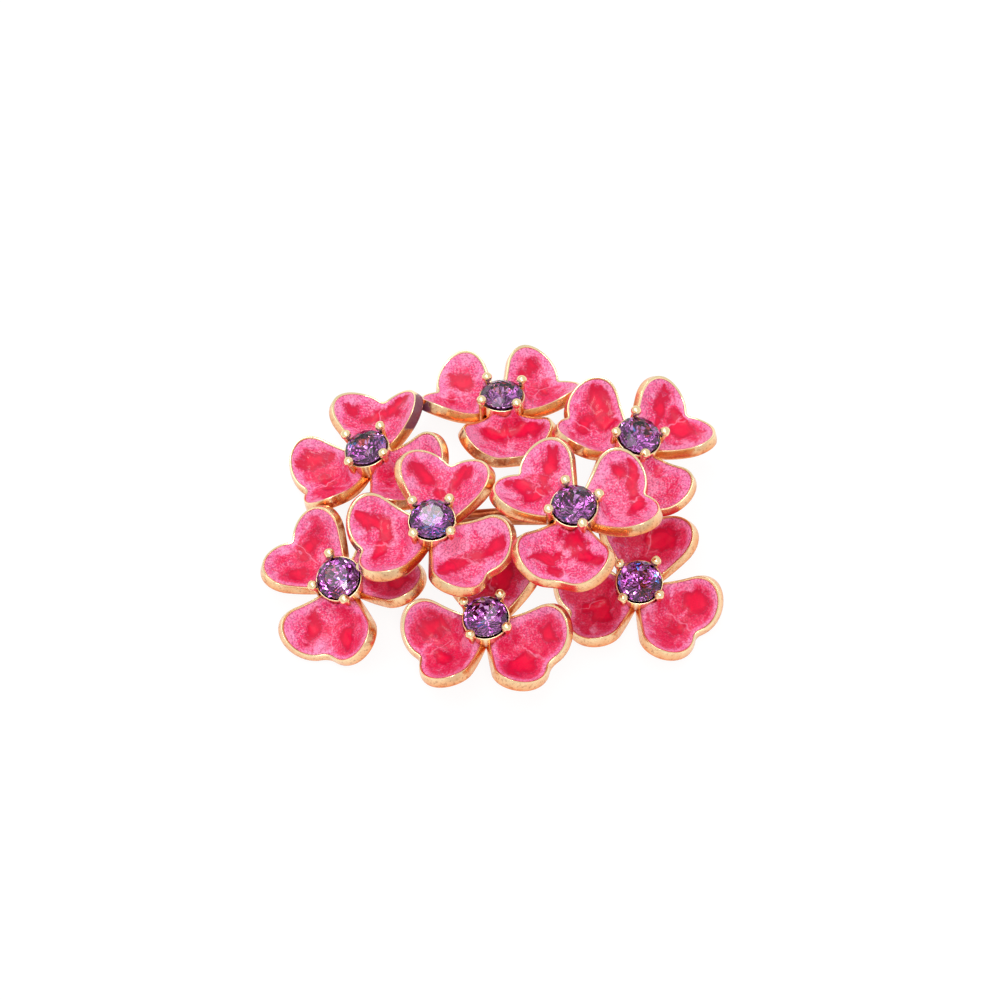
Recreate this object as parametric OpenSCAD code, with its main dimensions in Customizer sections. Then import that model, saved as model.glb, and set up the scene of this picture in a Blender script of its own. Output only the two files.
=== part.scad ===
// Clover brooch: eight enamelled clovers with round stones, on a hidden frame with a pin.
// Millimetres, +Z up. The brooch lies on its back on the plane z = 0, its front edge towards -Y.

/* [Petal outline] */
// From the clover's middle to the centres of a petal's two round lobes
lobe_reach = 5.48; // [5.3:0.01:5.55]
// Half the distance between the centres of the two lobes
lobe_spread = 1.9; // [1.75:0.01:1.95]
// Radius of the enamel in a lobe
lobe_r = 2.5; // [2.4:0.01:2.57]
// Radius of the hollow between the two lobes
notch_r = 0.6; // [0.4:0.05:0.8]
// Where the two straight flanks of the enamel would meet
tip_x = -0.28; // [-0.45:0.01:-0.15]
// Width of the gold rim round the enamel
rim_w = 0.18; // [0.14:0.01:0.22]

/* [Petal dish] */
// Slope of the petal at the clover's middle, falling outwards
dish_fall = -0.43; // [-0.45:0.01:-0.4]
// Curvature along the petal's midline
dish_long = 0.1; // [0.09:0.005:0.11]
// Curvature across the petal, which lifts its two lobes
dish_cross = 0.29; // [0.26:0.005:0.3]
// Thickness of the gold at the rim
sheet_t = 1.2; // [1:0.01:1.22]
// Share of the dish's slope that the walls follow, from 0 for walls that go straight down
wall_lean = 0.5; // [0.4:0.05:0.6]
// Depth of the recess for the enamel
recess = 0.45; // [0.35:0.01:0.55]
// How far the enamel stays below the rim
enamel_drop = 0.05; // [0.02:0.01:0.15]
// Gap between enamel and gold
enamel_gap = 0.04; // [0.03:0.01:0.06]

/* [Stone] */
// Radius of the stone at its girdle
stone_r = 2.22; // [2.1:0.01:2.24]
// Height of the girdle's lower edge over the clover's middle
girdle_z = 1.63; // [1.6:0.01:1.7]
// Thickness of the girdle
girdle_t = 0.1; // [0.05:0.01:0.15]
// Height of the crown over the girdle
crown_h = 0.68; // [0.6:0.01:0.72]
// Depth of the pavilion below the girdle
pavilion_h = 1.95; // [1.85:0.01:2]
// Width of the table as a share of the stone's width
table_share = 0.56; // [0.5:0.01:0.62]

/* [Setting] */
// Outer radius of the cup under the stone
cup_r = 2.42; // [2.38:0.01:2.5]
// Height of the cup's upper edge
cup_top = 1.35; // [1.25:0.01:1.4]
// Radius of the cup's opening at its upper edge
cup_mouth_r = 2.2; // [2.1:0.01:2.25]
// Distance of the four prongs from the stone's axis
prong_ring = 2.63; // [2.62:0.01:2.68]
// Radius of a prong's leg
prong_r = 0.33; // [0.25:0.01:0.35]
// Radius of a prong's round tip
bead_r = 0.52; // [0.45:0.01:0.54]
// Height of the round tips
bead_z = 2.2; // [2.15:0.01:2.3]

/* [Back] */
// Radius of the post under each clover
post_r = 0.65; // [0.55:0.01:0.7]
// Radius of the lug round the post
lug_r = 1.35; // [1.25:0.01:1.4]
// Thickness of the lug
lug_t = 0.7; // [0.6:0.01:0.75]
// Clearance between post and lug
lug_fit = 0.06; // [0.04:0.01:0.1]
// Radius of the frame's arms
arm_r = 0.45; // [0.4:0.01:0.48]
// Radius of the frame's main bar
bar_r = 0.6; // [0.55:0.01:0.65]
// Radius of the pin's stem
stem_r = 0.42; // [0.35:0.01:0.5]

/* [Hidden] */

// Columns of the table of clovers: the middle's place, how far the clover leans,
// towards which side it leans, and the direction of the petal that has a prong on its midline
PLACE = 0;
LEAN = 1;
LEAN_TO = 2;
SPIN = 3;
CLOVERS = [
  [[-12.5, 6.6, 3.95], 15.7, 153, 322.5],
  [[1.25, 13.25, 3.35], 16, 94, 36.5],
  [[15, 6.35, 6.95], 12.1, 13, 278.5],
  [[-5.75, -5.3, 10.05], 2.8, 196, 317],
  [[8.4, -5.05, 12.4], 2.7, 174, 18],
  [[-15.05, -8.25, 3.75], 16.2, 221, 17],
  [[-0.3, -13.25, 4.35], 6, 213, 325],
  [[15.2, -8.2, 2.75], 8.3, 258, 319],
];

// The main bar runs along X at this place, and the pin's stem below and in front of it
bar_y = -0.95;
bar_z = 4;
bar_from = -13.5;
bar_to = 9.4;
stem_y = -2.3;
stem_z = 1.2;
hinge_x = -12.6;
catch_x = 7.4;

// The tie between the two upright arms shows between clovers 4 and 5
tie_y = -2.45;
TIED = [3, 4];

// Columns of the table of arms: the clover whose lug it starts at (counted from 0),
// the point where it bends, and where along X it meets the main bar
FROM = 0;
BEND = 1;
MEETS = 2;
ARMS = [
  [0, [-10.1, 1.25, 2.1], -9.1],
  [1, [5, 5.6, 1.6], 5],
  [2, [11.8, 2.6, 4.2], 8.9],
  [3, [-5, tie_y, 7.2], -5],
  [4, [8.6, tie_y, 9.1], 8.6],
  [5, [-11.2, -4.6, 2.1], -10.3],
  [6, [0.2, -7.25, 1.7], 0.2],
  [7, [10.6, -4.2, 0.55], 9.2],
];

gold = [0.87, 0.68, 0.38];
pink = [0.93, 0.3, 0.47];
purple = [0.42, 0.25, 0.55];
fine = 48;
lobe_steps = 7;
flank_steps = 3;
petal_turns = [0, 120, 240];
prong_turns = [0, 90, 180, 270];

// The cup's wall stands on a narrower core, and the core on the round boss that carries the post.
// The prongs stand in the petals, but the one between two petals ends with the cup's wall.
cup_bottom = -0.5;
core_bottom = -1.3;
core_r = 1.9;
prong_bottom = -1.2;
free_prong = 180;
boss_bottom = -1.79;
boss_r = 1.4;

// How far the middle of the frame's lug lies below the clover's middle, and the post's end
lug_gap = 0.05;
lug_reach = -boss_bottom + lug_gap + lug_t / 2;
post_end = lug_reach + lug_t / 2 + lug_gap;

// A petal's flanks touch its lobes at this angle to the midline
flank = atan2(lobe_spread, lobe_reach - tip_x)
  + asin(lobe_r / norm([lobe_reach - tip_x, lobe_spread]));

// Middle of the fan of triangles that closes a petal's upper and lower faces
petal_hub = [4.6, 0];

// Heart-shaped outline of a petal, grown outwards by the given width, clockwise from its tip
function heart(grow) =
  let(r = lobe_r + grow,
      hollow_r = notch_r - grow,
      first = flank + 90,
      last = -asin(lobe_spread / (r + hollow_r)),
      lobe = [for (k = [0:lobe_steps])
        let(a = first + (last - first) * k / lobe_steps)
        [lobe_reach + r * cos(a), lobe_spread + r * sin(a)]],
      tip = [tip_x - grow / sin(flank), 0],
      notch = [lobe_reach + (r + hollow_r) * cos(last) - hollow_r, 0],
      flanks = [for (k = [0:flank_steps - 1]) tip + (lobe[0] - tip) * k / flank_steps],
      half = concat(flanks, lobe, [notch]))
  concat(half, [for (k = [len(half) - 2:-1:1]) [half[k][0], -half[k][1]]]);

// Height of the petal's dished face over a point of its outline's plane
function dish(p) = dish_fall * p[0] + dish_long * p[0] * p[0] / 2 + dish_cross * p[1] * p[1] / 2;

// Upward direction of the petal's walls, between straight up and square to the dished face
function wall_way(p) =
  let(n = [-wall_lean * (dish_fall + dish_long * p[0]), -wall_lean * dish_cross * p[1], 1])
  n / norm(n);

// The point that lies the given depth below the dished face
function below_dish(p, depth) = [p[0], p[1], dish(p)] - depth * wall_way(p);

// Columns of a ring of a petal's solid: growth of the outline, its scale about petal_hub, depth
GROW = 0;
SHARE = 1;
DEPTH = 2;
function ring_points(ring) =
  [for (p = heart(ring[GROW])) below_dish(petal_hub + ring[SHARE] * (p - petal_hub), ring[DEPTH])];

// Closed solid through rings that run from the middle of its upper face, over its edge,
// to the middle of its lower face
module petal_solid(rings) {
  n = 2 * (flank_steps + lobe_steps + 1);
  last = len(rings) - 1;
  top = below_dish(petal_hub, rings[0][DEPTH]);
  bottom = below_dish(petal_hub, rings[last][DEPTH]);
  points = concat([top], [for (r = rings) each ring_points(r)], [bottom]);
  end = len(points) - 1;
  polyhedron(points, concat(
    [for (j = [0:n - 1]) [0, 1 + j, 1 + (j + 1) % n]],
    [for (k = [0:last - 1], j = [0:n - 1])
      let(a = 1 + k * n + j, b = 1 + k * n + (j + 1) % n)
      each [[a, a + n, b + n], [a, b + n, b]]],
    [for (j = [0:n - 1]) [end, 1 + last * n + (j + 1) % n, 1 + last * n + j]]));
}

module petal_sheet() {
  petal_solid([
    [rim_w, 0.5, 0],
    [rim_w, 1, 0],
    [rim_w, 1, sheet_t],
    [rim_w, 0.5, sheet_t],
  ]);
}

// The recess reaches above the rim, so that it cuts the sheet open
module petal_recess() {
  petal_solid([
    [0, 0.5, -0.5],
    [0, 1, -0.5],
    [0, 1, recess],
    [0, 0.5, recess],
  ]);
}

module petal_enamel() {
  petal_solid([
    [-enamel_gap, 0.35, enamel_drop],
    [-enamel_gap, 0.7, enamel_drop],
    [-enamel_gap, 1, enamel_drop],
    [-enamel_gap, 1, recess - enamel_gap],
    [-enamel_gap, 0.5, recess - enamel_gap],
  ]);
}

module petals() {
  for (a = petal_turns)
    rotate([0, 0, a])
      children();
}

// Puts a clover's pieces at its place in the brooch
module at_clover(i) {
  c = CLOVERS[i];
  translate(c[PLACE])
    rotate([0, 0, c[LEAN_TO]])
      rotate([0, c[LEAN], 0])
        rotate([0, 0, c[SPIN] - c[LEAN_TO]])
          children();
}

// The cup's wall and its core, grown by the given clearance
module cup(more) {
  translate([0, 0, cup_bottom - more])
    cylinder(h = cup_top - cup_bottom + 2 * more, r = cup_r + more, $fn = fine);
  translate([0, 0, core_bottom - more])
    cylinder(h = cup_bottom - core_bottom + more, r = core_r + more, $fn = fine);
}

// The boss and the post that goes through the frame's lug
module post() {
  translate([0, 0, boss_bottom])
    cylinder(h = core_bottom - boss_bottom + 0.4, r = boss_r, $fn = fine);
  translate([0, 0, -post_end])
    cylinder(h = post_end + core_bottom, r = post_r, $fn = fine);
}

// Hollow of the cup, a cone under the stone's pavilion
module cup_hollow() {
  translate([0, 0, -0.5])
    cylinder(h = cup_top + 0.51, r1 = 0.1, r2 = cup_mouth_r, $fn = fine);
}

module prongs(leg_r, tips) {
  for (a = prong_turns)
    rotate([0, 0, a])
      translate([prong_ring, 0, 0]) {
        bottom = a == free_prong ? cup_bottom : prong_bottom;
        translate([0, 0, bottom])
          cylinder(h = bead_z - bottom, r = leg_r, $fn = 24);
        if (tips)
          translate([0, 0, bead_z])
            sphere(r = bead_r, $fn = 24);
      }
}

module clover(i) {
  color(gold)
    at_clover(i)
      difference() {
        union() {
          difference() {
            petals() petal_sheet();
            petals() petal_recess();
          }
          cup(0);
          post();
          prongs(prong_r, true);
        }
        cup_hollow();
      }
}

module enamel(i) {
  color(pink)
    at_clover(i)
      difference() {
        petals() petal_enamel();
        cup(enamel_gap);
        prongs(prong_r + enamel_gap, false);
      }
}

// Round brilliant cut: eight-sided table, eight kites with stars and upper halves between them,
// and eight long kites with lower halves below the girdle
function on_circle(r, a, z) = [r * cos(a), r * sin(a), z];
module stone(i) {
  table_r = stone_r * table_share;
  star_r = (table_r + stone_r) / 2 * 0.99;
  low_r = stone_r * 0.3;
  girdle_top = girdle_z + girdle_t;
  table_z = girdle_top + crown_h;
  star_z = table_z - (star_r * cos(22.5) - table_r) * crown_h / (stone_r - table_r);
  low_z = girdle_z - (stone_r - low_r * cos(22.5)) * pavilion_h / stone_r;
  points = concat(
    [for (k = [0:7]) on_circle(table_r, 45 * k, table_z)],
    [for (k = [0:7]) on_circle(star_r, 45 * k + 22.5, star_z)],
    [for (k = [0:15]) on_circle(stone_r, 22.5 * k, girdle_top)],
    [for (k = [0:15]) on_circle(stone_r, 22.5 * k, girdle_z)],
    [for (k = [0:7]) on_circle(low_r, 45 * k + 22.5, low_z)],
    [[0, 0, girdle_z - pavilion_h]]);
  STAR = 8;
  UPPER = 16;
  LOWER = 32;
  LOW = 48;
  CULET = 56;
  faces = concat(
    [[for (k = [7:-1:0]) k]],
    [for (k = [0:7]) let(m = (k + 1) % 8) each [
      [k, m, STAR + k],
      [k, STAR + k, UPPER + 2 * k],
      [m, UPPER + 2 * m, STAR + k],
      [STAR + k, UPPER + 2 * k + 1, UPPER + 2 * k],
      [STAR + k, UPPER + 2 * m, UPPER + 2 * k + 1],
      [LOW + k, LOWER + 2 * k, LOWER + 2 * k + 1],
      [LOW + k, LOWER + 2 * k + 1, LOWER + 2 * m],
      [CULET, LOWER + 2 * k, LOW + k],
      [CULET, LOW + k, LOWER + 2 * m]]],
    [for (k = [0:15]) let(m = (k + 1) % 16) each [
      [UPPER + k, UPPER + m, LOWER + k],
      [UPPER + m, LOWER + m, LOWER + k]]]);
  color(purple)
    at_clover(i)
      polyhedron(points, faces);
}

// Straight wire between two points
module wire(a, b, r) {
  d = b - a;
  translate(a)
    rotate([0, acos(d[2] / norm(d)), atan2(d[1], d[0])])
      cylinder(h = norm(d), r = r, $fn = 24);
}

// A clover's own axis, and the place in its lug where the arm starts, level with the lug's top
function axis_of(c) =
  [sin(c[LEAN]) * cos(c[LEAN_TO]), sin(c[LEAN]) * sin(c[LEAN_TO]), cos(c[LEAN])];
function arm_start(c) = c[PLACE] - (lug_reach - lug_t / 2 + arm_r) * axis_of(c);

// Main bar with an arm to the lug under each clover; the post of the clover goes through the lug
module back_frame() {
  solder_r = arm_r * 1.2;
  color(gold)
    difference() {
      union() {
        wire([bar_from, bar_y, bar_z], [bar_to, bar_y, bar_z], bar_r);
        for (arm = ARMS) {
          wire(arm_start(CLOVERS[arm[FROM]]), arm[BEND], arm_r);
          wire(arm[BEND], [arm[MEETS], bar_y, bar_z], arm_r);
          translate(arm[BEND])
            sphere(r = solder_r, $fn = 24);
        }
        wire(ARMS[TIED[0]][BEND], ARMS[TIED[1]][BEND], arm_r);
        for (i = [0:len(CLOVERS) - 1])
          at_clover(i)
            translate([0, 0, -lug_reach - lug_t / 2])
              cylinder(h = lug_t, r = lug_r, $fn = fine);
      }
      for (i = [0:len(CLOVERS) - 1])
        at_clover(i)
          translate([0, 0, -lug_reach - 1.2])
            cylinder(h = 2.4, r = post_r + lug_fit, $fn = fine);
    }
}

// Hinge block, stem and catch block in one: the stem's end lies closed in the catch
module pin_back() {
  block_l = 1.3;
  block_w = bar_y + bar_r - stem_y + 2 * stem_r;
  block_bottom = 0.4;
  block_top = bar_z - bar_r - 0.05;
  point_x = catch_x + 1;
  point_l = 1.1;
  color(gold)
    union() {
      for (x = [hinge_x, catch_x])
        translate([x - block_l / 2, stem_y - 2 * stem_r, block_bottom])
          cube([block_l, block_w, block_top - block_bottom]);
      wire([hinge_x, stem_y, stem_z], [point_x, stem_y, stem_z], stem_r);
      translate([point_x, stem_y, stem_z])
        rotate([0, 90, 0])
          cylinder(h = point_l, r1 = stem_r, r2 = 0.08, $fn = 24);
    }
}

for (i = [0:len(CLOVERS) - 1]) {
  clover(i);
  enamel(i);
  stone(i);
}
back_frame();
pin_back();
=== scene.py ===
import math

import bpy
import numpy as np
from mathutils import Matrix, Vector


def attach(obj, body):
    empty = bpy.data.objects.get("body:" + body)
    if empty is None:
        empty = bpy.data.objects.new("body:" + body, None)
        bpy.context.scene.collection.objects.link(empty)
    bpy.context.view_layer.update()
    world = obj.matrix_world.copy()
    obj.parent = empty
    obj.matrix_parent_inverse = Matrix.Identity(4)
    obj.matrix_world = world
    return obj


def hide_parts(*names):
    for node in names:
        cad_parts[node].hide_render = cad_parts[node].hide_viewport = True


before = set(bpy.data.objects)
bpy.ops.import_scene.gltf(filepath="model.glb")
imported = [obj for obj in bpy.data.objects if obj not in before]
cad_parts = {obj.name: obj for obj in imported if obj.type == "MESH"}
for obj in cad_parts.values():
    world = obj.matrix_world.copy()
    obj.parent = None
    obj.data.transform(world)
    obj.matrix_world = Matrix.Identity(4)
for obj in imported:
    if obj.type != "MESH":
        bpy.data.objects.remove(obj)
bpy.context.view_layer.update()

# Lengths of the brooch are in millimetres here, and turn into metres where a mesh is made
MM = 0.001
# Once round, in radians, for random shifts
ROUND = 6.28

# Petal: the heart outline of its enamel, with two round lobes and a tip at the clover's middle
LOBE_REACH, LOBE_SPREAD, LOBE_RADIUS = 5.48, 1.9, 2.5
TIP = -0.28
HUB = np.array([4.6, 0.0])
# Half the angle between the two straight flanks that run from the tip to the lobes
FLANK = math.atan2(LOBE_SPREAD, LOBE_REACH - TIP) + math.asin(
    LOBE_RADIUS / math.hypot(LOBE_REACH - TIP, LOBE_SPREAD))
# Dished face: slope and curve along the petal, curve across it, lean of its walls' direction
FALL, LONG_CURVE, CROSS_CURVE = -0.43, 0.1, 0.29
WALL_LEAN = 0.5
# Depth of the tray's floor under the face
RECESS = 0.45
# Root of a petal, which dips under the cup: depth there, reach from the clover's middle, slope
ROOT_DEPTH, ROOT_REACH, ROOT_STEEPNESS = 0.7, 2.1, 8
# Height of the enamel drawn up against the cup and against a prong
RISE_AT_CUP, RISE_AT_PRONG = 1.6, 1.1
# Unevenness of the rim and of the enamel's edge
RIM_WOBBLE, ENAMEL_WOBBLE = 0.018, 0.012
# Enamel: raised midline vein, and the length and height of each of its waves
VEIN_HEIGHT, VEIN_WIDTH = 0.075, 0.24
WAVES = ((2.6, 0.035), (1.9, 0.03), (1.3, 0.02), (0.9, 0.012))
# Rings of the enamel's face, as shares of the way from the hub to the outline
ENAMEL_SHARES = np.concatenate([np.linspace(0.06, 0.86, 32), np.linspace(0.88, 1.0, 7)])
# Rings of its underside: share of the way, depth
ENAMEL_UNDERSIDE = ((1.0, 0.08), (0.995, RECESS - 0.02), (0.7, RECESS - 0.02),
                    (0.4, RECESS - 0.02), (0.1, RECESS - 0.02))

# Stone
STONE_RADIUS = 2.22
GIRDLE_LOW, GIRDLE_HIGH = 1.63, 1.73
CROWN, PAVILION = 0.68, 1.95
TABLE_SHARE = 0.56
# Rows of the pavilion: share of the stone's radius, share of the depth
PAVILION_ROWS = [(0.8, 0.19), (0.57, 0.42), (0.32, 0.68)]
# Its points come in rings: the table's, the stars', the girdle's upper and lower, the pavilion's
STARS_FROM, UPPER_FROM, LOWER_FROM, PAVILION_FROM = 8, 16, 32, 48

# Setting: cup, core, boss and post, and four prongs with their beads
CUP_RADIUS, CUP_TOP, CUP_BOTTOM, CUP_MOUTH = 2.42, 1.35, -0.5, 2.2
CORE_RADIUS, CORE_BOTTOM = 1.9, -1.3
BOSS_RADIUS, BOSS_BOTTOM = 1.4, -1.79
POST_RADIUS, POST_END = 0.65, -2.59
PRONG_RING, PRONG_RADIUS, PRONG_BOTTOM = 2.63, 0.33, -1.2
# Angle from each petal's midline to its prong
PRONG_ON_PETAL = (0, -30, 30)
BEAD_RADIUS, BEAD_HEIGHT = 0.55, 2.2

# Plum patch on the wall of the first clover's rear petal
PLUM_PATCH_PLACE, PLUM_PATCH_RADIUS = (-8.2, 11.1, 5.6), 2.2

# Columns: where the clover sits, how far it leans, towards which side, the turn of the petal
# that has a prong on its midline, and the roundness of its three petals' notches
CLOVERS = [
    ((-12.5, 6.6, 3.95), 15.7, 153, 322.5, (0.6, 0.9, 0.9)),
    ((1.25, 13.25, 3.35), 16, 94, 36.5, (0.6, 0.5, 2.5)),
    ((15, 6.35, 6.95), 12.1, 13, 278.5, (0.7, 0.8, 0.6)),
    ((-5.75, -5.3, 10.05), 2.8, 196, 317, (1.2, 0.8, 0.6)),
    ((8.4, -5.05, 12.4), 2.7, 174, 18, (0.6, 0.5, 3.0)),
    ((-15.05, -8.25, 3.75), 16.2, 221, 17, (1.0, 0.6, 1.6)),
    ((-0.3, -13.25, 4.35), 6, 213, 325, (1.4, 1.2, 0.9)),
    ((15.2, -8.2, 2.75), 8.3, 258, 319, (0.9, 0.6, 0.7)),
]

# Deep red pools in the enamel. Columns: clover, petal, place along the petal and across it,
# half length, half width, turn from the petal's midline, how red. The rows of clovers 7 and 8
# with a half length of 3 or more are painted shade: a wide, soft deeper red over a whole petal
# that lies low, in the shade of clovers 4 and 5.
POOLS = [
    (1, 0, 3.5, -1.5, 1.4, 1.0, 60, 0.6), (1, 1, 6.6, -1.1, 1.9, 0.42, 115, 1.0),
    (1, 1, 7.0, -1.8, 0.6, 0.5, 0, 1.0), (1, 1, 6.0, 2.8, 0.5, 0.4, 0, 0.9),
    (1, 2, 5.3, -2.75, 1.4, 0.45, -12, 1.0), (1, 2, 5.2, 0.0, 1.6, 1.2, 90, 0.7),
    (2, 0, 5.4, 2.6, 0.7, 0.45, 20, 1.0), (2, 0, 5.4, 0.3, 1.3, 0.8, 90, 0.6),
    (2, 1, 5.5, -1.9, 0.85, 0.4, 10, 1.0), (2, 1, 5.6, 0.6, 1.2, 0.6, 60, 0.6),
    (2, 2, 4.0, -1.6, 1.0, 0.55, 80, 1.0), (2, 2, 3.9, 2.1, 1.2, 0.65, 65, 1.0),
    (2, 2, 3.6, 0.3, 1.1, 0.3, 90, 0.8), (3, 0, 5.0, 2.5, 1.2, 0.9, 0, 0.5),
    (3, 1, 6.0, -0.4, 1.35, 0.85, 80, 1.0), (3, 1, 5.5, 2.2, 1.0, 0.5, 40, 0.9),
    (3, 2, 5.2, -2.7, 1.2, 0.6, -30, 1.0), (3, 2, 3.7, -1.4, 0.9, 0.75, 90, 0.9),
    (3, 2, 5.6, -0.1, 1.2, 0.6, 80, 0.8), (4, 0, 4.4, -2.0, 1.7, 0.4, 82, 0.9),
    (4, 0, 5.6, 1.2, 1.7, 0.4, 62, 1.0), (4, 1, 6.2, -1.25, 0.95, 0.5, -25, 1.0),
    (4, 1, 5.8, 2.3, 1.1, 0.55, 65, 1.0), (4, 1, 4.3, 0.6, 0.5, 0.3, 90, 0.8),
    (4, 2, 5.8, -2.5, 1.0, 0.35, -35, 1.0), (4, 2, 4.6, -1.5, 0.7, 0.3, 90, 0.9),
    (4, 2, 5.6, 0.4, 1.4, 0.4, 65, 1.0), (5, 0, 6.3, -0.8, 0.8, 0.4, 40, 1.0),
    (5, 0, 6.7, 1.5, 1.6, 0.3, 71, 1.0), (5, 0, 5.7, 2.75, 0.5, 0.4, 0, 1.0),
    (5, 1, 5.5, -2.6, 1.3, 0.35, 108, 1.0), (5, 1, 6.4, 0.7, 0.9, 0.5, 60, 1.0),
    (5, 1, 4.5, 0.3, 0.9, 0.35, 75, 1.0), (5, 2, 6.6, -0.55, 0.55, 0.35, 90, 0.7),
    (5, 2, 4.7, 2.3, 1.5, 0.35, 60, 1.0), (5, 2, 2.9, 0.8, 0.9, 0.35, 80, 0.9),
    (5, 2, 5.2, -1.6, 0.95, 0.35, 115, 0.9), (6, 0, 5.5, -2.0, 2.0, 1.5, 0, 0.7),
    (6, 1, 5.7, -0.7, 1.8, 0.8, 95, 0.75), (6, 1, 4.5, 2.1, 1.1, 0.9, 60, 0.75),
    (6, 2, 5.2, -2.0, 1.2, 0.45, 0, 0.8), (6, 2, 5.4, 1.7, 2.0, 1.5, 0, 0.7),
    (7, 0, 5.4, -1.7, 1.9, 1.5, 90, 0.8), (7, 0, 5.8, 2.3, 1.4, 1.0, 0, 0.7),
    (7, 1, 5.5, -1.0, 2.0, 1.5, 0, 0.75), (7, 1, 5.2, 0.0, 3.6, 3.2, 0, 0.62),
    (7, 2, 5.2, -2.2, 1.6, 0.9, 0, 0.8), (7, 2, 5.4, 0.9, 2.0, 1.5, 90, 0.7),
    (8, 0, 5.4, 2.4, 1.5, 1.3, 0, 0.8), (8, 0, 5.7, -1.0, 1.6, 1.1, 90, 0.7),
    (8, 0, 5.2, 0.4, 3.0, 2.6, 0, 0.45), (8, 1, 5.8, -1.4, 2.1, 1.5, 90, 0.8),
    (8, 1, 5.2, 0.4, 3.0, 2.6, 0, 0.5), (8, 2, 4.4, 0.8, 2.4, 1.6, 90, 0.75),
    (8, 2, 5.2, 0.0, 3.6, 3.2, 0, 0.62),
]


# Shapes

def turned(degrees, axis):
    """Turn about the z or the y axis."""
    a = math.radians(degrees)
    c, s = math.cos(a), math.sin(a)
    if axis == "z":
        return np.array([[c, -s, 0], [s, c, 0], [0, 0, 1]])
    return np.array([[c, 0, s], [0, 1, 0], [-s, 0, c]])


def clover_stance(place, lean, lean_to, spin):
    """Place and turn of a clover's own axes in the brooch."""
    turn = turned(lean_to, "z") @ turned(lean, "y") @ turned(spin - lean_to, "z")
    return np.array(place), turn


def heart(grow, notch, flank_steps=12, lobe_steps=22, notch_steps=6):
    """Heart outline of a petal, grown by the given width, from its tip round to its tip."""
    r, hollow = LOBE_RADIUS + grow, notch - grow
    first = FLANK + math.pi / 2
    last = -math.asin(LOBE_SPREAD / (r + hollow))
    angles = np.linspace(first, last, lobe_steps + 1)
    lobe = np.stack([LOBE_REACH + r * np.cos(angles), LOBE_SPREAD + r * np.sin(angles)], 1)
    centre = LOBE_REACH + (r + hollow) * math.cos(last)
    angles = np.linspace(math.pi + last, math.pi, notch_steps + 1)[1:]
    dent = np.stack([centre + hollow * np.cos(angles), hollow * np.sin(angles)], 1)
    tip = np.array([TIP - grow / math.sin(FLANK), 0.0])
    flank = tip + (lobe[0] - tip) * (np.arange(flank_steps) / flank_steps)[:, None]
    half = np.concatenate([flank, lobe, dent])
    return np.concatenate([half, half[-2:0:-1] * [1, -1]])


def drawn_in(outline, share):
    """The outline at a share of the way from the hub."""
    return HUB + share * (outline - HUB)


def outward(outline):
    """Direction away from the hub at each point of an outline."""
    out = outline - HUB
    return out / np.linalg.norm(out, axis=1, keepdims=True)


def dish(p):
    """Height of the dished face."""
    x, y = p[..., 0], p[..., 1]
    return FALL * x + LONG_CURVE * x * x / 2 + CROSS_CURVE * y * y / 2


def wall_way(p):
    """Upward direction of the walls, between straight up and square to the dished face."""
    x, y = p[..., 0], p[..., 1]
    n = np.stack([-WALL_LEAN * (FALL + LONG_CURVE * x), -WALL_LEAN * CROSS_CURVE * y,
                  np.ones_like(x)], -1)
    return n / np.linalg.norm(n, axis=-1, keepdims=True)


def below_dish(p, depth):
    """Points at a depth under the dished face, measured along the walls."""
    face = np.concatenate([p, dish(p)[..., None]], -1)
    return face - np.asarray(depth)[..., None] * wall_way(p)


class Shell:
    """Gathers points, faces and named values until they become one mesh object."""

    def __init__(self):
        self.points, self.faces, self.values, self.count = [], [], {}, 0

    def add(self, points, faces, **values):
        for name, value in values.items():
            self.values.setdefault(name, []).append((self.count, np.asarray(value, float)))
        self.faces += [tuple(i + self.count for i in f) for f in faces]
        self.points.append(points)
        self.count += len(points)

    def piece(self, name, stance, smooth=True):
        """The mesh object, set in the place and turn of the stance."""
        place, turn = stance
        points = np.concatenate(self.points) @ turn.T + place
        mesh = bpy.data.meshes.new(name)
        mesh.from_pydata((points * MM).tolist(), [], self.faces)
        for label, runs in self.values.items():
            wide = runs[0][1].ndim == 2
            full = np.zeros((self.count, 3) if wide else self.count)
            for start, value in runs:
                full[start:start + len(value)] = value
            layer = mesh.attributes.new(label, "FLOAT_VECTOR" if wide else "FLOAT", "POINT")
            layer.data.foreach_set("vector" if wide else "value", full.ravel())
        mesh.polygons.foreach_set("use_smooth", [smooth] * len(mesh.polygons))
        mesh.update()
        piece = bpy.data.objects.new(name, mesh)
        bpy.context.scene.collection.objects.link(piece)
        return piece


def skin(rings):
    """Points and faces of a closed skin: a middle point, rings of points, another middle."""
    around = len(rings[0])
    points = np.concatenate([[rings[0].mean(0)]] + rings + [[rings[-1].mean(0)]])
    pairs = [(j, (j + 1) % around) for j in range(around)]
    faces = [(0, 1 + j, 1 + m) for j, m in pairs]
    for k in range(len(rings) - 1):
        a = 1 + k * around
        b = a + around
        faces += [(a + j, b + j, b + m, a + m) for j, m in pairs]
    last, end = len(points) - 1 - around, len(points) - 1
    faces += [(end, last + m, last + j) for j, m in pairs]
    return points, faces


def lathe(profile, around):
    """Round solid from a profile of radius and height, bottom first."""
    angles = np.linspace(0, 2 * math.pi, around, endpoint=False)
    rings = [np.stack([r * np.cos(angles), r * np.sin(angles), np.full(around, z)], 1)
             for r, z in reversed(profile)]
    return skin(rings)


def arc(centre, radius, start, end, steps, tall=1.0):
    """Points of radius and height on an arc, for a lathe's profile."""
    return [(centre[0] + radius * math.cos(a), centre[1] + tall * radius * math.sin(a))
            for a in np.radians(np.linspace(start, end, steps))]


# Gold castings

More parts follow.
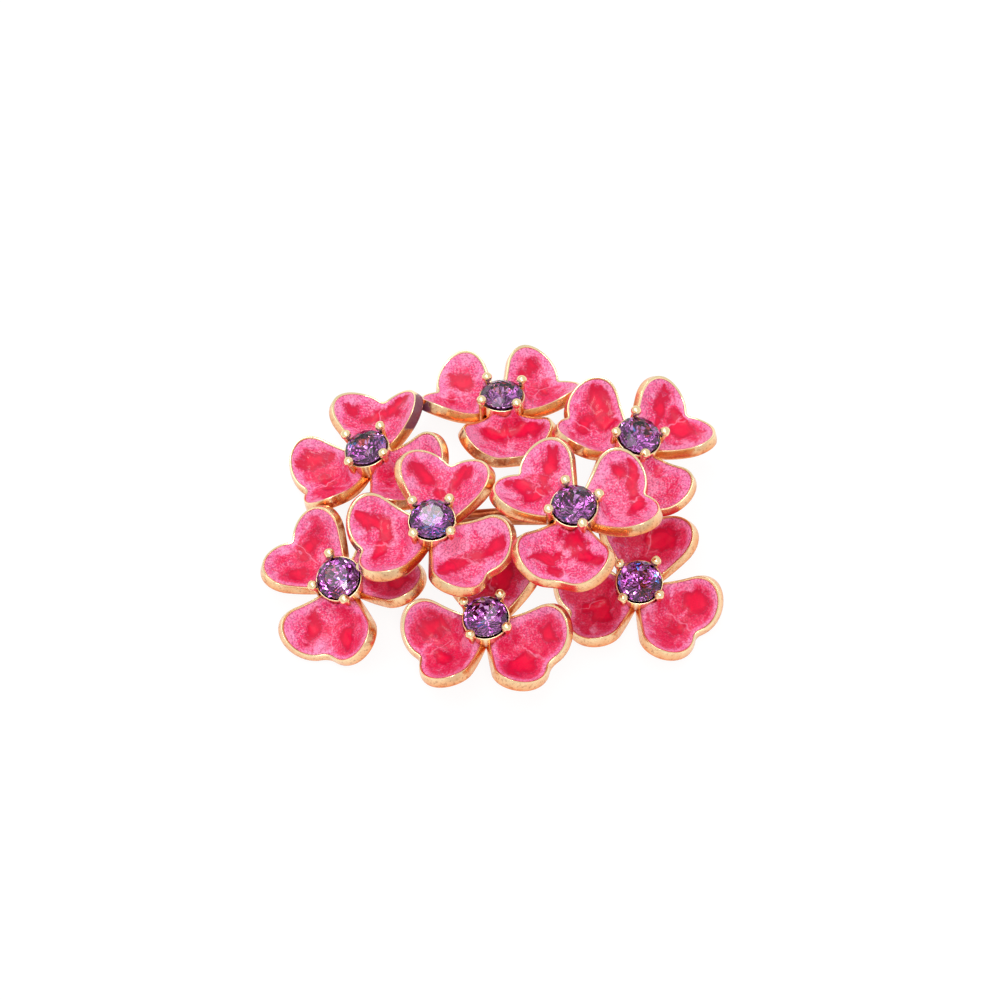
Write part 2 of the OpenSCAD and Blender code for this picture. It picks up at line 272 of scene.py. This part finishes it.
def hand_wobble(outline, seed, size):
    """Small slow unevenness round a petal's edge, as files and polishing leave it."""
    a = np.linspace(0, 2 * math.pi, len(outline), endpoint=False)
    rng = np.random.default_rng(seed)
    return size * sum(np.sin(k * a + rng.uniform(0, ROUND)) / k ** 0.7 for k in (2, 3, 5, 7))


# Columns: growth of the outline, share about the hub, depth below the dished face, painted shade
# (0 where the rim takes a painted highlight, 1 at the wall's lower edge, painted dark), share of
# the wobble
RIM_PROFILE = [
    (0.0, 0.1, RECESS, 1.0, 0), (0.0, 0.4, RECESS, 1.0, 0), (0.0, 0.7, RECESS, 1.0, 0),
    (0.0, 1, RECESS, 1.0, 0), (-0.03, 1, 0.06, 0.9, 0),
    (-0.025, 1, 0.01, 0.4, 0), (0.0, 1, -0.01, 0.0, 0), (0.1, 1, -0.015, 0.0, 0.8),
    (0.155, 1, 0.0, 0.0, 1), (0.18, 1, 0.03, 0.1, 1),
    (0.185, 1, 0.12, 0.25, 1), (0.19, 1, 0.3, 0.4, 1), (0.2, 1, 0.55, 0.55, 1),
    (0.2, 1, 0.8, 0.7, 1), (0.19, 1, 1.02, 0.9, 1), (0.17, 1, 1.14, 1.0, 1),
    (0.13, 1, 1.19, 1.0, 0.8), (0.05, 1, 1.2, 1.0, 0.3), (0.05, 0.92, 1.2, 1.0, 0),
    (0.18, 0.7, 1.2, 1.0, 0), (0.18, 0.4, 1.2, 1.0, 0),
]


def under_cup(p):
    """Least depth of a petal's top where it runs into the cup's body, below the stone.
    Outside the cup it lies above the petal, so that it changes nothing there."""
    reach = np.hypot(p[:, 0], p[:, 1])
    return ROOT_DEPTH * np.clip(ROOT_STEEPNESS * (ROOT_REACH - reach), -9, 1)


def petal_tray(shell, turn, notch, seed):
    """Gold tray of one petal, with its rim."""
    rings, painted_shades = [], []
    for grow, share, depth, tone, wobbled in RIM_PROFILE:
        outline = heart(grow, notch)
        wobble = wobbled * hand_wobble(outline, seed, RIM_WOBBLE)
        p = drawn_in(outline + outward(outline) * wobble[:, None], share)
        rings.append(below_dish(p, np.maximum(depth, under_cup(p))) @ turn.T)
        painted_shades.append(np.full(len(p), tone))
    points, faces = skin(rings)
    shell.add(points, faces, tone=np.concatenate([[1.0]] + painted_shades + [[1.0]]))


def cup_and_post(shell):
    """Round body of a setting, with painted shade down its side. Inside the cup the painted shade
    goes past 1, for a painted reflection of the stone and painted shade in the hollow."""
    profile = [(0.01, POST_END), (POST_RADIUS - 0.08, POST_END), (POST_RADIUS, POST_END + 0.08),
               (POST_RADIUS, BOSS_BOTTOM), (BOSS_RADIUS - 0.05, BOSS_BOTTOM),
               (BOSS_RADIUS, BOSS_BOTTOM + 0.05), (BOSS_RADIUS, CORE_BOTTOM),
               (CORE_RADIUS - 0.1, CORE_BOTTOM), (CORE_RADIUS, CORE_BOTTOM + 0.1),
               (CORE_RADIUS, CUP_BOTTOM - 0.15), (CORE_RADIUS + 0.1, CUP_BOTTOM),
               (CUP_RADIUS - 0.1, CUP_BOTTOM), (CUP_RADIUS, CUP_BOTTOM + 0.1),
               (CUP_RADIUS, 0.3), (CUP_RADIUS, CUP_TOP - 0.1)]
    profile += arc((CUP_RADIUS - 0.09, CUP_TOP - 0.08), 0.09, 0, 160, 7)
    profile += [(CUP_MOUTH, CUP_TOP - 0.09), (1.6, 0.76), (0.9, 0.0), (0.1, -0.5), (0.01, -0.5)]
    points, faces = lathe(profile, 64)
    height = points[:, 2]
    inside = (np.hypot(points[:, 0], points[:, 1]) < 2.12) & (height > -0.6)
    # painted shade: darker down the cup's side
    tone = np.clip((CUP_TOP - height) / 1.2, 0, 1)
    shell.add(points, faces, tone=np.where(inside, 1.6, tone))


def prongs(shell):
    """Four prongs and their beads. The third stands in the gap between two petals, and ends
    with the cup."""
    bead = arc((0, BEAD_HEIGHT), BEAD_RADIUS, -89, 89, 15, 0.94)
    for k in range(4):
        foot = CUP_BOTTOM if k == 2 else PRONG_BOTTOM
        leg = [(0.01, foot), (PRONG_RADIUS - 0.06, foot), (PRONG_RADIUS, foot + 0.08),
               (PRONG_RADIUS - 0.03, 1.0), (PRONG_RADIUS, BEAD_HEIGHT - 0.2), (0.01, BEAD_HEIGHT)]
        turn = turned(90 * k, "z")
        for profile, around in ((leg, 20), (bead, 28)):
            points, faces = lathe(profile, around)
            # painted highlight on top of each bead, painted shade below it and down the leg
            tone = np.clip((BEAD_HEIGHT - 0.25 - points[:, 2]) / 0.5, 0, 0.85)
            shell.add((points + [PRONG_RING, 0, 0]) @ turn.T, faces, tone=tone)


# Enamel

def relief(p, seed):
    """Raised midline vein and the soft waves of fired enamel, in millimetres."""
    rng = np.random.default_rng(seed)
    x, y = p[:, 0], p[:, 1]
    bend = 0.12 * np.sin(1.1 * x + rng.uniform(0, ROUND))
    vein = VEIN_HEIGHT * np.exp(-((y - bend) / VEIN_WIDTH) ** 2) * np.clip((x - 2.4) / 1.2, 0, 1)
    waves = np.zeros_like(x)
    for length, height in WAVES:
        a, shift = rng.uniform(0, ROUND, 2)
        waves += height * np.sin((x * math.cos(a) + y * math.sin(a)) * ROUND / length + shift)
    return vein + waves


def edge_distance(p, outline):
    """Distance from points to a closed outline."""
    a, b = outline, np.roll(outline, -1, 0)
    ab = b - a
    t = np.clip(((p[:, None] - a) * ab).sum(-1) / (ab * ab).sum(-1), 0, 1)
    return np.linalg.norm(p[:, None] - a - t[..., None] * ab, axis=-1).min(1)


def root_rise(p, inset, prong):
    """How far the enamel is drawn up against the cup and the prong, at a petal's root."""
    reach = np.hypot(p[:, 0], p[:, 1])
    near = np.clip((3.8 - reach) / 1.4, 0, 1) * np.clip((reach - 1.95) / 0.3, 0, 1)
    at_prong = np.exp(-((p - prong) ** 2).sum(1) / 0.5 ** 2)
    return (RISE_AT_CUP * near ** 1.8 + RISE_AT_PRONG * at_prong) * np.clip(inset / 0.5, 0, 1)


def pool_depth(p, clover, petal):
    """How far each point lies inside a pool, in millimetres, and how red the glass is there.
    A pool that is less red than 0.9 shrinks, and leaves more of its soft zone."""
    inside, red = np.full(len(p), -2.0), np.zeros(len(p))
    for row_clover, row_petal, along, across, length, width, turn, redness in POOLS:
        if (row_clover, row_petal) == (clover, petal):
            c, s = math.cos(math.radians(turn)), math.sin(math.radians(turn))
            x, y = p[:, 0] - along, p[:, 1] - across
            away = np.hypot((x * c + y * s) / length, (y * c - x * s) / width)
            inside = np.maximum(inside, (1 - away - 3 * max(0.9 - redness, 0)) * width)
            red = np.maximum(red, redness * np.exp(-away ** 2 / 4))
    return inside, red


def petal_enamel(shell, turn, notch, prong_at, clover, petal):
    """Enamel of one petal: its raised face, and a flat underside just above the tray's floor.
    The value "petal" holds the place along and across the petal, and a number of its own
    that shifts the pattern."""
    seed = 10 * clover + petal
    outline = heart(-0.05, notch, 18, 34, 8)
    prong = PRONG_RING * np.array([math.cos(prong_at), math.sin(prong_at)])
    rings, spots, insets = [], [], []
    spill = 0.015 + hand_wobble(outline, seed + 500, ENAMEL_WOBBLE)
    for share in ENAMEL_SHARES:
        p = drawn_in(outline, share)
        inset = edge_distance(p, outline)
        if share == 1.0:
            p = outline + outward(outline) * spill[:, None]
            inset = inset * 0
        fade = np.clip(inset / 0.7, 0, 1) ** 2
        depth = (0.05 - 0.04 * np.exp(-inset / 0.12) - relief(p, seed) * fade
                 - root_rise(p, inset, prong))
        rings.append(below_dish(p, np.maximum(depth, under_cup(p))) @ turn.T)
        spots.append(p)
        insets.append(inset)
    for share, depth in ENAMEL_UNDERSIDE:
        p = drawn_in(outline, share)
        rings.append(below_dish(p, np.maximum(depth, under_cup(p) + 0.05)) @ turn.T)
        spots.append(p)
        insets.append(np.zeros(len(p)))
    points, faces = skin(rings)
    flat = np.concatenate([[HUB]] + spots + [[HUB]])
    inset = np.concatenate([[2.5]] + insets + [[0.0]])
    inside, red = pool_depth(flat, clover, petal)
    shell.add(points, faces, inset=inset, inside=inside, red=red,
              petal=np.concatenate([flat, np.full((len(flat), 1), seed * 7.3)], 1))


# Stones

def paint_facet_flashes(piece, seed):
    """Gives each facet its own lightness, from 0 to 1, for painted flashes and dark facets, and
    marks the facets under the girdle, which throw the light back."""
    faces = piece.data.polygons
    rng = np.random.default_rng(seed + 40)
    under = [float(max(face.vertices) >= PAVILION_FROM) for face in faces]
    for label, values in (("facet", rng.uniform(0, 1, len(faces))), ("under", under)):
        layer = piece.data.attributes.new(label, "FLOAT", "FACE")
        layer.data.foreach_set("value", values)


def many_facets(seed):
    """Round cut stone: octagon table, stars, kites and halves above the girdle, and rows
    of narrow facets below it."""
    rng = np.random.default_rng(seed)
    table_r = STONE_RADIUS * TABLE_SHARE
    star_r = (table_r + STONE_RADIUS) / 2 * 0.99
    table_z = GIRDLE_HIGH + CROWN
    fall = (star_r * math.cos(math.pi / 8) - table_r) * CROWN / (STONE_RADIUS - table_r)
    star_z = table_z - fall

    def ring(r, count, shift, z, loose=0.0):
        a = np.arange(count) * 2 * math.pi / count + shift
        points = np.stack([r * np.cos(a), r * np.sin(a), np.full(count, z)], 1)
        return points + rng.uniform(-loose, loose, points.shape)

    rows = [ring(STONE_RADIUS * share, 16, math.pi / 16 * (k + 1),
                 GIRDLE_LOW - PAVILION * deep, 0.03)
            for k, (share, deep) in enumerate(PAVILION_ROWS)]
    points = np.concatenate([
        ring(table_r, 8, 0, table_z), ring(star_r, 8, math.pi / 8, star_z),
        ring(STONE_RADIUS, 16, 0, GIRDLE_HIGH), ring(STONE_RADIUS, 16, 0, GIRDLE_LOW),
        *rows, [[0, 0, GIRDLE_LOW - PAVILION]]])
    star, upper, lower = STARS_FROM, UPPER_FROM, LOWER_FROM
    culet = len(points) - 1
    faces = [tuple(range(8))]
    for k in range(8):
        m, b = (k + 1) % 8, (k - 1) % 8
        faces += [(k, star + k, m),
                  (k, star + b, upper + 2 * k, star + k),
                  (star + k, upper + 2 * k, upper + 2 * k + 1),
                  (star + k, upper + 2 * k + 1, upper + 2 * m)]
    for k in range(16):
        m = (k + 1) % 16
        faces.append((upper + k, lower + k, lower + m, upper + m))
        for row in range(len(rows)):
            a, c = lower + 16 * row, lower + 16 * (row + 1)
            if row % 2 == 0:
                faces += [(a + k, c + k, a + m), (c + k, c + m, a + m)]
            else:
                faces += [(a + k, c + (k - 1) % 16, c + k), (a + k, c + k, a + m)]
        faces.append((culet, culet - 16 + m, culet - 16 + k))
    return points, faces


# Finishes

class Tone:
    """A number that changes over a surface, written in sums like any number."""

    def __init__(self, finish, socket):
        self.finish, self.socket = finish, socket

    def _sum(self, operation, first, second=0.0):
        return self.finish.node("Math", {"operation": operation}, {0: first, 1: second})

    def __add__(self, other):
        return self._sum("ADD", self, other)

    def __radd__(self, other):
        return self._sum("ADD", other, self)

    def __sub__(self, other):
        return self._sum("SUBTRACT", self, other)

    def __rsub__(self, other):
        return self._sum("SUBTRACT", other, self)

    def __mul__(self, other):
        return self._sum("MULTIPLY", self, other)

    def __truediv__(self, other):
        return self._sum("DIVIDE", self, other)

    def __abs__(self):
        return self._sum("ABSOLUTE", self)

    def above(self, low, high):
        """0 below low, 1 above high, smooth between."""
        return self.finish.node("MapRange", {"interpolation_type": "SMOOTHSTEP"},
                                {0: self, 1: low, 2: high})

    def held(self):
        """Kept between 0 and 1."""
        return self.finish.node("Clamp", {}, {0: self})


class Finish:
    """A material under construction, with a Principled shader at its end."""

    def __init__(self, name, colour, **constants):
        self.material = bpy.data.materials.new(name)
        self.material.use_nodes = True
        self.tree = self.material.node_tree
        self.shader = self.tree.nodes["Principled BSDF"]
        self.shader.inputs["Base Color"].default_value = (*colour, 1)
        for socket, value in constants.items():
            self.feed(self.shader.inputs[socket.replace("_", " ")], value)

    def feed(self, socket, value):
        """Gives a socket a changing number, a colour or a constant."""
        if isinstance(value, Tone):
            self.tree.links.new(value.socket, socket)
        elif isinstance(value, tuple) and len(value) == 3 and socket.type == "RGBA":
            socket.default_value = (*value, 1)
        else:
            socket.default_value = value

    def node(self, kind, settings, inputs, output=0):
        """Makes a node and gives one of its outputs."""
        made = self.tree.nodes.new("ShaderNode" + kind)
        for key, value in settings.items():
            setattr(made, key, value)
        for key, value in inputs.items():
            self.feed(made.inputs[key], value)
        return Tone(self, made.outputs[output])

    def place(self):
        """Place on the object in millimetres."""
        where = self.node("TexCoord", {}, {}, "Object")
        return self.node("VectorMath", {"operation": "SCALE"}, {0: where, "Scale": 1 / MM})

    def value(self, label):
        """A number that the mesh carries."""
        return self.node("Attribute", {"attribute_name": label}, {}, "Fac")

    def spot(self, label):
        """A place that the mesh carries."""
        return self.node("Attribute", {"attribute_name": label}, {}, "Vector")

    def parts(self, vector):
        """The three numbers of a place."""
        made = self.node("SeparateXYZ", {}, {0: vector}).socket.node
        return [Tone(self, socket) for socket in made.outputs]

    def noise(self, where, per_mm, detail=3.0, rough=0.5, twist=0.0):
        return self.node("TexNoise", {}, {"Vector": where, "Scale": per_mm, "Detail": detail,
                                          "Roughness": rough, "Distortion": twist})

    def mix(self, share, first, second):
        return self.node("Mix", {"data_type": "RGBA"}, {0: share, 6: first, 7: second}, 2)

    def bump(self, height, depth_mm):
        return self.node("Bump", {}, {"Height": height, "Distance": depth_mm * MM,
                                      "Strength": 1.0})

    def shade(self, **sockets):
        for socket, value in sockets.items():
            self.feed(self.shader.inputs[socket.replace("_", " ")], value)
        return self.material


def srgb(r, g, b):
    """Linear colour from a colour as the eye names it, 0 to 255."""
    return tuple((c / 255 / 12.92) if c / 255 <= 0.04045 else ((c / 255 + 0.055) / 1.055) ** 2.4
                 for c in (r, g, b))


def gold_finish():
    """Polished castings: a painted highlight on the rims, painted shade on the walls, which are
    warmer and duller, and a plum patch.
    """
    f = Finish("polished_gold", srgb(250, 205, 130), Metallic=1.0)
    where = f.place()
    tone = f.value("tone")
    cloudy = f.noise(where, 1.1, 3)
    grain = f.noise(where, 3.4, 3, 0.55)
    # painted highlight on the rims, painted shade down the walls and on the beads' lower sides
    shade = (tone + (cloudy - 0.5) * 0.7).held()
    colour = f.mix(shade, srgb(255, 232, 184), srgb(238, 150, 98))
    # painted reflection of the stone and painted shade inside the cup
    cup_reflection_and_shade = tone.above(1.1, 1.5)
    colour = f.mix(cup_reflection_and_shade, colour, srgb(110, 60, 110))
    streak = grain.above(0.5, 0.68) * tone.above(0.1, 0.6)
    colour = f.mix(streak * 0.45, colour, srgb(168, 78, 44))
    away = f.node("VectorMath", {"operation": "DISTANCE"}, {0: where, 1: PLUM_PATCH_PLACE}, "Value")
    plum_patch = (1 - away / PLUM_PATCH_RADIUS + (cloudy - 0.5) * 0.8).above(0.02, 0.16)
    plum_patch = plum_patch * tone.above(0.12, 0.25)
    colour = f.mix(plum_patch * 0.9, colour, srgb(104, 34, 78))
    return f.shade(Base_Color=colour, Roughness=0.14 + grain * 0.14, Metallic=1 - plum_patch * 0.8,
                   Normal=f.bump(cloudy * 0.6 + grain * 0.4, 0.035))


def frame_gold_painted_shade_finish():
    """Duller and redder gold of the frame and the pin, as painted shade under the clovers."""
    f = Finish("brushed_gold_painted_shade", srgb(236, 176, 104), Metallic=1.0)
    where = f.place()
    grain = f.noise(where, 5.0, 4, 0.6)
    cloudy = f.noise(where, 0.7, 2)
    # painted shade: two dark, red golds for the parts that lie under the clovers
    colour = f.mix(cloudy.above(0.35, 0.65), srgb(214, 142, 92), srgb(170, 92, 62))
    return f.shade(Base_Color=colour, Roughness=0.26 + grain * 0.16, Normal=f.bump(grain, 0.03))


def enamel_finish():
    """Pink enamel with red pools, painted shade as a wide deeper red on low petals, a painted
    highlight along the raised vein, and light and dark flecks.
    """
    f = Finish("pink_enamel", srgb(240, 70, 120), Coat_Roughness=0.1, Coat_IOR=1.5,
               Specular_IOR_Level=0.25)
    where = f.place()
    petal = f.spot("petal")
    inset = f.value("inset")
    along, across, _ = f.parts(petal)
    swirl = f.noise(petal, 0.6, 2, 0.5, 1.0)
    cloud = f.noise(petal, 0.55, 2, 0.5, 0.8)
    fleck = f.noise(where, 5.0, 1, 0.5)
    flake = f.noise(where, 5.2, 1, 0.5, 0.3)
    # thinner, paler glass towards the rim
    thick = (inset / 1.6 + (cloud - 0.5) * 2.0).above(0.1, 0.8)
    # red zone round each pool, which is painted shade where it covers a whole petal, frosted
    # patches outside it, the pool and its dark edge, the painted highlight along the raised vein
    depth = f.value("inside") + (swirl - 0.5) * 1.9 + 0.22
    deep = (f.value("red") + (swirl - 0.5) * 1.6).above(0.1, 0.6) * inset.above(0.1, 0.6)
    frost = (1 - cloud).above(0.5, 0.62) * (1 - deep * 0.85)
    dim = (1 - abs(depth + 0.04) * 7).held() * inset.above(0.2, 0.5)
    pool = depth.above(0.0, 0.07) * inset.above(0.1, 0.3)
    pool_red = f.mix(depth.above(0.1, 0.6), srgb(208, 0, 60), srgb(236, 6, 66))
    # painted highlight along the raised vein
    vein = (1 - abs(across + (cloud - 0.5) * 2.4) / 0.14).held()
    vein = vein * along.above(3.4, 4.2) * inset.above(0.2, 0.6)
    base = f.mix(thick, srgb(250, 120, 176), srgb(238, 60, 115))
    base = f.mix(frost * 0.5, base, srgb(253, 164, 200))
    # deeper red round the pools, painted shade where it covers a whole low petal
    base = f.mix(deep * 0.9, base, srgb(228, 18, 76))
    base = f.mix(dim * 0.75, base, srgb(184, 8, 62))
    base = f.mix(pool, base, pool_red)
    base = f.mix(vein * 0.5, base, srgb(253, 160, 196))
    # fewer flecks in the pools
    bright = flake.above(0.52, 0.58) * (1 - pool) * (1 - deep * 0.8)
    base = f.mix(bright * 0.5, base, srgb(253, 178, 212))
    dark = fleck.above(0.52, 0.58) * (1 - pool * 0.75) * (1 - deep * 0.4)
    base = f.mix(dark * 0.5, base, f.mix(deep, srgb(164, 40, 92), srgb(172, 4, 54)))
    return f.shade(Base_Color=base, Roughness=0.34 + flake * 0.15, Coat_Weight=0.08 + cloud * 0.14,
                   Normal=f.bump(swirl * 0.6 + flake * 0.4, 0.05))


def stone_finish():
    """Cut stone: clear facets above the girdle, and mirroring ones under it, with painted flashes
    and dark facets, of which a few flash a painted blue."""
    f = Finish("purple_stone", srgb(160, 96, 190), Roughness=0.0, IOR=1.62,
               Transmission_Weight=1.0)
    facet = f.value("facet")
    under = f.value("under")
    # painted flashes and dark facets under the girdle, and a painted blue glint on a few
    back = f.mix(facet.above(0.25, 0.7), srgb(100, 34, 92), srgb(246, 200, 240))
    back = f.mix(facet.above(0.975, 0.98), back, srgb(90, 200, 250))
    # painted flashes on the facets above the girdle: each one lighter or darker
    front = f.mix(facet.above(0.3, 0.7), srgb(186, 146, 204), srgb(238, 214, 246))
    return f.shade(Base_Color=f.mix(under, front, back), Metallic=under)


def floor_finish():
    """White table that keeps a trace of the brooch's shade."""
    f = Finish("pale_floor", (0.12, 0.12, 0.12), Roughness=0.7, Specular_IOR_Level=0.0,
               Emission_Color=(1.0, 1.0, 1.0), Emission_Strength=0.9)
    return f.material


# Build

def dress(piece, node, finish):
    """Gives a piece its finish, and puts it in place of the plain solid."""
    piece.data.materials.append(finish)
    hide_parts(node)
    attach(piece, "root")


polished_gold = gold_finish()
frame_gold_painted_shade = frame_gold_painted_shade_finish()
pink_enamel = enamel_finish()
purple_stone = stone_finish()

for number, (place, lean, lean_to, spin, notches) in enumerate(CLOVERS, 1):
    stance = clover_stance(place, lean, lean_to, spin)
    casting, enamel, stone = Shell(), Shell(), Shell()
    for petal, notch in enumerate(notches):
        turn = turned(120 * petal, "z")
        prong_at = math.radians(PRONG_ON_PETAL[petal])
        petal_tray(casting, turn, notch, 10 * number + petal)
        petal_enamel(enamel, turn, notch, prong_at, number, petal)
    cup_and_post(casting)
    prongs(casting)
    stone.add(*many_facets(number))
    name = f"clover_{number}"
    dress(casting.piece(f"{name}_casting", stance), name, polished_gold)
    dress(enamel.piece(f"{name}_enamel", stance), f"enamel_{number}", pink_enamel)
    stone_piece = stone.piece(f"{name}_stone", stance, smooth=False)
    paint_facet_flashes(stone_piece, number)
    dress(stone_piece, f"stone_{number}", purple_stone)

for node in ("back_frame", "pin_back"):
    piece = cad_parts[node]
    piece.data.materials.clear()
    piece.data.materials.append(frame_gold_painted_shade)

# Floor, light, camera

# Half the floor's side, the lamps' aim and the camera's distance are in metres
FLOOR_HALF = 2
LAMP_AIM = (0, 0, 0.005)
CAMERA_AWAY = 0.3
CAMERA_AIM = (0.19, 1.74, -0.2)
CAMERA_ELEVATION = math.radians(60)

corners = [(x * FLOOR_HALF, y * FLOOR_HALF, 0) for x, y in ((-1, -1), (1, -1), (1, 1), (-1, 1))]
floor_mesh = bpy.data.meshes.new("floor")
floor_mesh.from_pydata(corners, [], [(0, 1, 2, 3)])
floor_mesh.materials.append(floor_finish())
floor = bpy.data.objects.new("floor", floor_mesh)
bpy.context.scene.collection.objects.link(floor)

world = bpy.data.worlds.new("studio")
world.use_nodes = True
sky = world.node_tree.nodes["Background"]
sky.inputs["Color"].default_value = (1, 1, 1, 1)
sky.inputs["Strength"].default_value = 0.78
bpy.context.scene.world = world


def soft_box(name, place, size, power):
    """Round lamp over the table, aimed at the brooch."""
    light = bpy.data.lights.new(name, "AREA")
    light.shape = "DISK"
    light.size = size
    light.energy = power
    holder = bpy.data.objects.new(name, light)
    holder.location = place
    beam = Vector(LAMP_AIM) - Vector(place)
    holder.rotation_euler = beam.to_track_quat("-Z", "Y").to_euler()
    bpy.context.scene.collection.objects.link(holder)


soft_box("top_light", (-0.12, 0.02, 0.5), 0.45, 0.9)
soft_box("front_light", (0.05, -0.25, 0.45), 0.12, 0.45)
soft_box("table_light", (-0.063, 0.19, 0.358), 0.077, 0.1)

camera_data = bpy.data.cameras.new("camera")
camera_data.lens = 103.2
camera_data.sensor_width = 36
camera_data.shift_x = 0.008
camera_data.shift_y = 0.017
camera_data.clip_start = 0.01
camera = bpy.data.objects.new("camera", camera_data)
back = Vector((0, -math.cos(CAMERA_ELEVATION), math.sin(CAMERA_ELEVATION)))
camera.location = Vector(CAMERA_AIM) * MM + back * CAMERA_AWAY
camera.rotation_euler = back.to_track_quat("Z", "Y").to_euler()
bpy.context.scene.collection.objects.link(camera)
bpy.context.scene.camera = camera
bpy.context.scene.view_settings.view_transform = "Standard"
